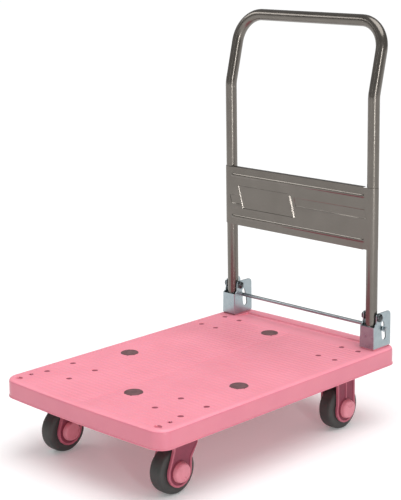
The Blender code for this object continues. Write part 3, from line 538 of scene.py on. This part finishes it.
def press_fields(panel, face_x, foot_z):
    """Three shallow pressed fields with leaning ends, and the ridge that closes the middle one."""
    lean, ramp, slack = 0.277, 1.2 * MM, 0.01 * MM
    centre_z = foot_z + 67 * MM
    across = Vector((0, 1, -lean)).normalized()
    # each field: from y, to y, from z, to z, depth
    fields = [(165 * MM, 15 * MM, 40.5 * MM, 94 * MM, 1.5 * MM),
              (198 * MM, 168 * MM, 50 * MM, 71 * MM, 0.9 * MM),
              (-1 * MM, -199 * MM, 67.5 * MM, 88 * MM, 0.9 * MM)]
    ridge_y, ridge_low, ridge_high = 9.5 * MM, 41.5 * MM, 91 * MM
    ridge_half, ridge_proud = 2.1 * MM, 2.7 * MM

    def along(vertex):
        """Distance along the panel, taken square to the leaning ends."""
        return vertex.co.y - lean * (vertex.co.z - centre_z)

    def between(vertex, low_z, high_z):
        return foot_z + low_z + ramp - slack < vertex.co.z < foot_z + high_z - ramp + slack

    for y0, y1, z0, z1, _ in fields:
        for y in (y0, y0 - ramp, y1 + ramp, y1):
            score((face_x, y, centre_z), across)
        for z in (z0, z0 + ramp, z1 - ramp, z1):
            score((face_x, 0, foot_z + z), UP)
    for y in (ridge_y - ridge_half, ridge_y, ridge_y + ridge_half):
        score((face_x, y, centre_z), across)
    for z in (ridge_low, ridge_low + ramp, ridge_high - ramp, ridge_high):
        score((face_x, 0, foot_z + z), UP)
    for y0, y1, z0, z1, depth in fields:
        pick(panel, "VERT", lambda v: y1 + ramp - slack < along(v) < y0 - ramp + slack
             and between(v, z0, z1))
        bpy.ops.transform.translate(value=(depth, 0, 0))
    pick(panel, "VERT", lambda v: abs(along(v) - ridge_y) < slack and between(v, ridge_low, ridge_high))
    bpy.ops.transform.translate(value=(-ridge_proud, 0, 0))


def make_panel():
    """Pressed sheet across the posts: flanged at top and bottom, beaded near both edges, with shallow
    pressed fields, and curled round the posts at its ends."""
    low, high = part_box("handle_panel")
    sheet, near = 1.2 * MM, 1e-5
    face_x = low.x + sheet / 2
    edge_round = 1.5 * MM                     # height that each flange's bend takes
    panel = start(bpy.ops.mesh.primitive_plane_add, "handle_cross_panel", size=1,
                  location=(face_x, 0, (low.z + high.z) / 2), rotation=(0, math.pi / 2, 0),
                  scale=(high.z - low.z - 2 * edge_round, 2 * POST_Y, 1))
    edit(panel)

    # the beads: share of the half width, and share of the depth; then how they run out at their ends,
    # as share of the depth between two distances from the end
    bead_in, bead_half, bead_deep = 20 * MM, 4.4 * MM, 2.3 * MM
    bead_shape = ((-1, 0), (-0.72, 0.3), (-0.4, 0.8), (0, 1), (0.4, 0.8), (0.72, 0.3), (1, 0))
    run_out = ((0.45, 1.6 * MM, 3.6 * MM), (0.85, 3.6 * MM, 6 * MM), (1.0, 6 * MM, math.inf))
    end_y = POST_Y - 11.5 * MM
    lines = [(bead_z + bead_half * t, bead_deep * d)
             for bead_z in (low.z + bead_in, high.z - bead_in) for t, d in bead_shape]
    for z, _ in lines:
        score((face_x, 0, z), UP)
    for _, side in SIDES:
        for inset in (0, *(starts for _, starts, _ in run_out)):
            score((face_x, side * (end_y - inset), 0), Y)
    for z, depth in lines:
        if depth == 0:
            continue
        for share, starts, ends in run_out:
            pick(panel, "VERT", lambda v: abs(v.co.z - z) < near
                 and end_y - ends + near < abs(v.co.y) < end_y - starts + near)
            bpy.ops.transform.translate(value=(-depth * share, 0, 0))
    press_fields(panel, face_x, low.z)

    # flanges, turned back behind the web between the posts
    flange_y = POST_Y - 15 * MM
    flange = ((0.2 * MM, 0.5 * MM), (0.7 * MM, 0.4 * MM), (7 * MM, 0))          # back, and outwards
    for _, side in SIDES:
        score((face_x, side * flange_y, 0), Y)
    for edge_z, way in ((high.z - edge_round, 1), (low.z + edge_round, -1)):
        pick(panel, "EDGE", lambda e: all(abs(v.co.z - edge_z) < near and abs(v.co.y) < flange_y + near
                                          for v in e.verts))
        for back, outwards in flange:
            pull((back, 0, way * outwards))

    # the ends, curled round the posts
    curl = math.radians(100)
    for _, side in SIDES:
        pick(panel, "EDGE", lambda e: all(abs(v.co.y - side * POST_Y) < near for v in e.verts))
        bpy.ops.mesh.spin(steps=18, angle=side * curl, axis=UP, center=(POST_X, side * POST_Y, 0))
    leave()
    apply(panel, "SOLIDIFY", thickness=sheet, offset=0)
    edit(panel)
    leave()
    soften(panel, 0.3 * MM, 2, 55)
    shade(panel, 32)
    hand_over(panel, "grey_paint", metallic_paint, "handle_panel")


# ---- brackets, lock rod and their fittings ----
def make_bracket(side_name):
    bracket = worked_copy(f"bracket_{side_name}", f"pivot_bracket_{side_name}")
    soften(bracket, 0.45 * MM, 2, 35)
    shade(bracket, 32)
    hand_over(bracket, "zinc_plate", zinc, f"bracket_{side_name}")


def make_bracket_bolt(node):
    """Hex bolt with a chamfered head over a washer face."""
    low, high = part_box(node)
    centre = (low + high) / 2
    tall = 4 * MM
    head_z = high.z - tall
    head = [(5.4 * MM, 0), (5.4 * MM, 3.2 * MM), (4.7 * MM, tall)]
    shank = [(3 * MM, 0.5 * MM), (3 * MM, low.z - head_z + 0.5 * MM), (2.6 * MM, low.z - head_z)]
    bolt = rod("head", (centre.x, centre.y, head_z + tall / 2), 5.6 * MM, tall, "Z", 6)
    carve(bolt, turned("turned_head", head, (centre.x, centre.y, head_z), UP, 48), "INTERSECT")
    carve(bolt, turned("shank", shank, (centre.x, centre.y, head_z), UP, 24), "UNION")
    bolt.name = bolt.data.name = node.replace("bracket_bolt", "bracket_screw")
    soften(bolt, 0.2 * MM, 1, 50)
    shade(bolt, 30)
    hand_over(bolt, "bright_steel", bright_steel, node)


def make_pivot(side_name, side):
    """Pivot bolt: low domed head outside, cap nut inside."""
    low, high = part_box(f"pivot_bolt_{side_name}")
    centre = Vector((PIVOT.x, side * POST_Y, PIVOT.z))
    out = Y * side
    head = abs((high if side > 0 else low).y) - POST_Y - 5 * MM
    end = abs((low if side > 0 else high).y) - POST_Y
    profile = [(3.6 * MM, end), (4 * MM, end + 0.4 * MM), (4 * MM, head), (8.6 * MM, head),
               (9.0 * MM, head + 0.4 * MM), (9.0 * MM, head + 1.5 * MM), (8.6 * MM, head + 2.6 * MM),
               (7.2 * MM, head + 3.9 * MM), (5.0 * MM, head + 4.7 * MM), (3.3 * MM, head + 4.9 * MM),
               (2.9 * MM, head + 4.1 * MM), (0.3 * MM, head + 4.1 * MM)]
    bolt = turned(f"pivot_pin_{side_name}", profile, centre, out, 40)
    shade(bolt, 40)
    hand_over(bolt, "bright_steel", dark_steel, f"pivot_bolt_{side_name}")
    low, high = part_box(f"pivot_nut_{side_name}")
    face = abs((high if side > 0 else low).y) - POST_Y
    wide = 9.0 * MM
    nut = rod("nut", centre + out * (face - 1.9 * MM), wide, 3.8 * MM, "Y", 6)
    dome = [(7.2 * MM, face - 3 * MM), (7.0 * MM, face - 4.4 * MM), (5.6 * MM, face - 5.8 * MM),
            (3.2 * MM, face - 6.6 * MM), (0.4 * MM, face - 6.8 * MM)]
    carve(nut, turned("dome", dome, centre, out, 32), "UNION")
    carve(nut, rod("thread", centre + out * (face - 1.7 * MM), 4.3 * MM, 4 * MM, "Y", 24))
    soften(nut, 0.35 * MM, 2, 35)
    nut.name = nut.data.name = f"pivot_cap_nut_{side_name}"
    shade(nut, 35)
    hand_over(nut, "bright_steel", dark_steel, f"pivot_nut_{side_name}")


def make_lock_rod():
    low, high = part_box("lock_rod")
    centre = (low + high) / 2
    r, half, edge = (high.x - low.x) / 2, (high.y - low.y) / 2, 1.2 * MM
    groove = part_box("rod_clip_right")[0].y + 0.8 * MM
    side = [(r, groove - 1.2 * MM), (r - 0.05 * MM, groove + 1.2 * MM), (r, groove + 1.3 * MM),
            (r, half - edge), (r - 0.45 * MM, half - 0.35 * MM), (r - edge, half)]
    profile = [(x, -h) for x, h in reversed(side)] + side
    bar = turned("lock_bar_rod", profile, centre, Y, 32)
    shade(bar, 35)
    hand_over(bar, "zinc_plate", drawn_zinc, "lock_rod")
    for side_name, _ in SIDES:
        low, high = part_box(f"rod_clip_{side_name}")
        centre = (low + high) / 2
        r, half = (high.x - low.x) / 2, (high.y - low.y) / 2
        inner = 4.3 * MM
        profile = [(inner, -half), (r - 0.3 * MM, -half), (r, -half + 0.3 * MM), (r, half - 0.3 * MM),
                   (r - 0.3 * MM, half), (inner, half)]
        clip = turned(f"rod_retainer_{side_name}", profile, centre, Y, 32, ring=True)
        shade(clip)
        hand_over(clip, "zinc_plate", zinc, f"rod_clip_{side_name}")


def make_spring(side_name):
    """A round wire swept round and up by the Screw modifier."""
    node = f"rod_spring_{side_name}"
    low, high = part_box(node)
    centre = (low + high) / 2
    wire = 0.6 * MM
    coil_r = (high.y - low.y) / 2 - wire
    turns = 5
    spring = start(bpy.ops.mesh.primitive_circle_add, "wire", vertices=10, radius=wire, fill_type="NGON",
                   rotation=(math.pi / 2, 0, 0), location=(coil_r, 0, 0))
    apply(spring, "SCREW", axis="Z", steps=20, render_steps=20, iterations=turns, use_merge_vertices=False,
          screw_offset=(high.z - low.z - 2 * wire) / turns, use_normal_calculate=True)
    edit(spring)
    bpy.ops.transform.translate(value=(centre.x, centre.y, low.z + wire))
    leave()
    spring.name = spring.data.name = f"return_spring_{side_name}"
    shade(spring, 50, False)
    hand_over(spring, "bright_steel", bright_steel, node)
    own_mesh(spring)


# ---- casters ----
def make_tyre(name, hub):
    low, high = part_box(f"{name}_tyre")
    half = (high.y - low.y) / 2
    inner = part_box(f"{name}_core")[1].z - hub.z + 0.3 * MM
    r = WHEEL_R
    wrap_r, flange = inner - 6.3 * MM, 14.1 * MM
    # over the rim's flange, down the side wall, round the shoulder, and across the tread to its mould line
    side = [(inner, flange), (wrap_r, flange), (wrap_r, half - 1.5 * MM),
            (wrap_r + 1.2 * MM, half - 0.4 * MM), (inner + 2.2 * MM, half), (r - 7.5 * MM, half - 0.2 * MM),
            (r - 4.2 * MM, half - 1.3 * MM), (r - 1.9 * MM, half - 3.3 * MM),
            (r - 0.65 * MM, half - 6.2 * MM), (r - 0.12 * MM, half - 9.6 * MM),
            (r - 0.12 * MM, 0.5 * MM), (r, 0.25 * MM)]
    profile = side + [(x, -h) for x, h in reversed(side)]
    tyre = turned(f"{name}_tread", profile, hub, Y, 72, ring=True)
    shade(tyre)
    hand_over(tyre, "tyre_rubber", tyre_rubber, f"{name}_tyre")


def make_core(name, hub):
    """Rim, dished web with ribs, and hub."""
    low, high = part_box(f"{name}_core")
    hub_half = (high.y - low.y) / 2
    rim_r, rim_half = high.z - hub.z, 14 * MM
    bore, hub_r = 4.4 * MM, 12 * MM
    rib_count, rib_wide, rib_half = 8, 8.5 * MM, 1.2 * MM
    side = [(bore, hub_half), (hub_r - 0.6 * MM, hub_half), (hub_r, hub_half - 0.6 * MM),
            (hub_r + 1.2 * MM, 4.5 * MM), (hub_r + 2.2 * MM, 3.0 * MM), (rim_r - 6 * MM, 3.0 * MM),
            (rim_r - 4.6 * MM, 4.2 * MM), (rim_r - 3.8 * MM, rim_half), (rim_r - 0.6 * MM, rim_half),
            (rim_r, rim_half - 0.6 * MM)]
    profile = side + [(x, -h) for x, h in reversed(side)]
    core = turned("core", profile, hub, Y, 48, ring=True)
    ribs = []
    for k in range(rib_count):
        rib = block("rib", hub + Vector((hub_r - 1 * MM, -rib_wide, -rib_half)),
                    hub + Vector((rim_r - 3 * MM, rib_wide, rib_half)))
        edit(rib)
        bpy.ops.transform.rotate(value=2 * math.pi * k / rib_count, orient_axis="Y", center_override=hub)
        leave()
        ribs.append(rib)
    carve(core, joined(ribs), "UNION")
    soften(core, 0.3 * MM, 1, 50)
    core.name = core.data.name = f"{name}_wheel_core"
    shade(core, 35)
    hand_over(core, "wheel_plastic", core_plastic, f"{name}_core")


def make_caps(name, hub):
    """Domed hub caps, each on a seat ring sunk in the fork's leg; the ring's dark colour paints the shade
    round the cap.
    """
    for where, way in SIDES:
        node = f"{name}_cap_{where}"
        low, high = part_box(node)
        r, tall = (high.x - low.x) / 2 - 0.9 * MM, high.y - low.y
        base = FORK_HALF + 0.3 * MM
        profile = [(r - 0.5 * MM, 0), (r, 0.4 * MM), (r - 0.9 * MM, 0.52 * tall),
                   (r - 1.9 * MM, 0.78 * tall), (r - 3.3 * MM, 0.92 * tall), (r - 5.2 * MM, 0.968 * tall),
                   (r - 8.0 * MM, 0.985 * tall), (r - 8.5 * MM, 0.96 * tall), (r - 9.2 * MM, 0.96 * tall),
                   (r - 9.7 * MM, 0.985 * tall), (r - 14 * MM, tall), (1 * MM, tall)]
        cap = turned(f"{name}_hub_cap_{where}", [(x, base + h) for x, h in profile], hub, Y * way, 56)
        shade(cap, 40)
        hand_over(cap, "fork_plastic", cap_plastic, node)
        ring = [(r - 2 * MM, FORK_HALF - 1.2 * MM), (r + 2.4 * MM, FORK_HALF - 1.2 * MM),
                (r + 2.4 * MM, FORK_HALF - 0.1 * MM), (r + 2.1 * MM, FORK_HALF + 0.15 * MM),
                (r - 2 * MM, FORK_HALF + 0.15 * MM)]
        seat = turned(f"{name}_cap_shade_ring_{where}", ring, hub, Y * way, 56, ring=True)
        shade(seat, 40)
        hand_over(seat, "fork_plastic", seat_painted_shade, body=BODY[node])


def sink_fields(fork, hub, outline, depth):
    """Sinks the flat of both legs inside a raised border."""
    clear = 3 * MM
    for way in (-1, 1):
        face = hub.y + way * FORK_HALF
        points = [(hub.x + x, face - way * depth, hub.z + z) for x, z in outline]
        carve(fork, plate("field", points, Vector((0, way * (depth + clear), 0))))


def paint_field(fork, hub, depth):
    """The sunk faces take the rougher finish, whose darker colour is painted shade."""
    near, square = 0.05 * MM, 0.9
    fork.data.materials.clear()
    fork.data.materials.append(fork_nylon)
    fork.data.materials.append(field_painted_shade_nylon)
    for face in fork.data.polygons:
        sunk = abs(abs(face.center.y - hub.y) - (FORK_HALF - depth)) < near
        face.material_index = 1 if sunk and abs(face.normal.y) > square else 0


def make_fork(name, hub, kind):
    """Moulded fork with a sunk field on each leg. The fixed one has a rib down the middle of each field."""
    fork = worked_copy(f"{name}_fork", f"{name}_fork_moulding")
    depth, r = 1.3 * MM, 26.5 * MM
    if kind == "swivel":
        outline = [(p.x, p.z) for p in arc((0, 0, 0), r, 159, 360, 8)]
        outline += [(27.5 * MM, 23 * MM), (46.5 * MM, 47.5 * MM), (46.5 * MM, 67 * MM),
                    (-10.5 * MM, 67 * MM), (-11.5 * MM, 45 * MM)]
    else:
        top, shoulder, half = PLATE_UNDER - hub.z - 4.5 * MM, 26 * MM, 24 * MM
        outline = [(p.x, p.z) for p in arc((0, 0, 0), r, 155, 385, 8)]
        outline += [(half, shoulder), (half, top), (-half, top), (-half, shoulder)]
    sink_fields(fork, hub, outline, depth)
    if kind == "fixed":
        rib_half, rib_foot, rib_top = 1.4 * MM, hub.z + 22 * MM, PLATE_UNDER - 8 * MM
        for way in (-1, 1):
            inner, outer = sorted(hub.y + way * (FORK_HALF - sunk) for sunk in (2.5 * MM, 0.2 * MM))
            rib = block("rib", (hub.x - rib_half, inner, rib_foot), (hub.x + rib_half, outer, rib_top))
            carve(fork, rib, "UNION")
    soften(fork, 0.7 * MM, 2, 40)
    paint_field(fork, hub, depth)
    shade(fork, 35)
    hand_over(fork, "fork_plastic", None, f"{name}_fork")


def make_swivel_fittings(name):
    """Mounting plate and the rolled race between it and the fork."""
    top_plate = worked_copy(f"{name}_plate", f"{name}_top_plate")
    soften(top_plate, 0.4 * MM, 2, 40)
    shade(top_plate, 35)
    hand_over(top_plate, "zinc_plate", zinc, f"{name}_plate")
    low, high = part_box(f"{name}_race")
    centre = (low + high) / 2
    r, tall, bore = (high.x - low.x) / 2, high.z - low.z, 6.3 * MM
    profile = [(bore, 0), (r - 5 * MM, 0), (r - 3.5 * MM, 0.4 * MM), (r - 0.8 * MM, 1.2 * MM),
               (r, 2.2 * MM), (r, tall * 0.45), (r - 0.6 * MM, tall * 0.55), (r - 0.6 * MM, tall * 0.7),
               (r - 0.1 * MM, tall * 0.78), (r - 1.2 * MM, tall - 0.5 * MM), (r - 3 * MM, tall),
               (bore, tall)]
    race = turned(f"{name}_bearing_race", profile, (centre.x, centre.y, low.z), UP, 56, ring=True)
    shade(race, 35)
    hand_over(race, "zinc_plate", zinc, f"{name}_race")


def make_caster_bolts():
    """M8 hex bolts and washers under the mounting plates."""
    washer = [(4.3 * MM, 0), (8 * MM, 0), (8.3 * MM, -0.3 * MM), (8.3 * MM, -1.3 * MM),
              (8 * MM, -1.6 * MM), (4.3 * MM, -1.6 * MM)]
    rounded_head = [(6.6 * MM, -7 * MM), (7.3 * MM, -6.3 * MM), (7.3 * MM, -1.7 * MM)]
    shank = [(3.9 * MM, -2.2 * MM), (3.9 * MM, 15 * MM), (3.3 * MM, 15.6 * MM)]
    hex_r, hex_tall, hex_middle = 7.4 * MM, 5.3 * MM, 4.35 * MM
    under = PLATE_UNDER - 0.05 * MM
    for number, (x, y) in enumerate(caster_bolt_spots(), 1):
        ring = turned("washer", washer, (x, y, under), UP, 32, ring=True)
        head = rod("head", (x, y, under - hex_middle), hex_r, hex_tall, "Z", 6)
        carve(head, turned("turned_head", rounded_head, (x, y, under), UP, 48), "INTERSECT")
        carve(head, turned("shank", shank, (x, y, under), UP, 24), "UNION")
        bolt = joined([head, ring])
        bolt.name = bolt.data.name = f"caster_bolt_{number:02d}"
        shade(bolt, 30)
        hand_over(bolt, "bright_steel", bright_steel, body="base")


make_deck()
make_lip()
make_plugs()
make_pads()
make_handle_tube()
make_panel()
make_lock_rod()
for side_name, side in SIDES:
    make_bracket(side_name)
    for where in ("front", "rear"):
        make_bracket_bolt(f"bracket_bolt_{side_name}_{where}")
    make_pivot(side_name, side)
    make_spring(side_name)
    make_swivel_fittings(f"swivel_{side_name}")
for name, hub in HUBS.items():
    make_tyre(name, hub)
    make_core(name, hub)
    make_caps(name, hub)
    make_fork(name, hub, name.split("_")[0])
make_caster_bolts()

# parts whose shape is right as it is
for node, part in frame["nodes"].items():
    if part.hide_render:
        continue
    kept = black_nylon if "spacer" in node else bright_steel
    for held in part.material_slots:
        held.material = kept


# ---- floor, light and camera ----
def make_floor():
    """A white floor that glows a little, so that it reads as white right up to the wheels."""
    glow = 0.15
    floor = start(bpy.ops.mesh.primitive_plane_add, "studio_floor", size=400, location=(0, 0, 0))
    made = bpy.data.materials.new("backlit_white_acrylic_floor")
    made.use_nodes = True
    tree = made.node_tree
    shader = tree.nodes["Principled BSDF"]
    shader.inputs["Base Color"].default_value = linear("#F4F4F4")
    shader.inputs["Roughness"].default_value = 0.8
    shader.inputs["Emission Color"].default_value = linear("#FFFFFF")
    shader.inputs["Emission Strength"].default_value = glow
    floor.data.materials.append(made)


def make_light(name, place, aim, size, power):
    """A white rectangular lamp, turned to a point."""
    light = bpy.data.lights.new(name, "AREA")
    light.shape = "RECTANGLE"
    light.size, light.size_y = size
    light.energy = power
    lamp = bpy.data.objects.new(name, light)
    lamp.location = place
    lamp.rotation_euler = (Vector(aim) - Vector(place)).to_track_quat("-Z", "Y").to_euler()
    bpy.context.scene.collection.objects.link(lamp)


def make_sun(towards, power, softness):
    """Even light from a large overhead bank, the same all over the floor."""
    light = bpy.data.lights.new("overhead_bank", "SUN")
    light.energy = power
    light.angle = math.radians(softness)
    lamp = bpy.data.objects.new("overhead_bank", light)
    lamp.rotation_euler = Vector(towards).to_track_quat("Z", "Y").to_euler()
    bpy.context.scene.collection.objects.link(lamp)


def make_camera():
    azimuth, elevation, roll = 0.7887, 0.2162, -0.015          # radians
    place = (-2.0175, -1.9947, 1.0960)
    ahead = Vector((math.sin(azimuth) * math.cos(elevation), math.cos(azimuth) * math.cos(elevation),
                    -math.sin(elevation)))
    right = Vector((math.cos(azimuth), -math.sin(azimuth), 0))
    above = right.cross(ahead)
    across = right * math.cos(roll) + above * math.sin(roll)
    upward = above * math.cos(roll) - right * math.sin(roll)
    view = Matrix((across, upward, -ahead)).transposed().to_4x4()
    camera = bpy.data.cameras.new("camera")
    camera.sensor_fit = "VERTICAL"
    camera.sensor_height = 36
    camera.lens = 101.49
    camera.shift_y = -0.0634
    eye = bpy.data.objects.new("camera", camera)
    eye.matrix_world = Matrix.Translation(place) @ view
    bpy.context.scene.collection.objects.link(eye)
    bpy.context.scene.camera = eye


def make_world(strength):
    """Even white light from all round."""
    world = bpy.data.worlds.new("studio")
    world.use_nodes = True
    background = world.node_tree.nodes["Background"]
    background.inputs["Color"].default_value = linear("#FFFFFF")
    background.inputs["Strength"].default_value = strength
    bpy.context.scene.world = world


make_floor()
make_camera()
make_sun((0.08, -0.22, 1.0), 2.2, 60)
make_light("key_strip", (-1.5, -3.0, 0.95), (0.3, 0, 0.55), (0.08, 2.2), 32)
make_light("left_strip", (-2.9, 0.5, 1.1), (0.3, 0, 0.5), (0.12, 2.0), 2)
make_light("rear_softbox", (-1.05, 2.1, 2.2), (0.3, 0, 0.45), (1.7, 0.7), 13)
make_world(0.32)
bpy.context.scene.view_settings.view_transform = "Standard"

bpy.context.view_layer.update()
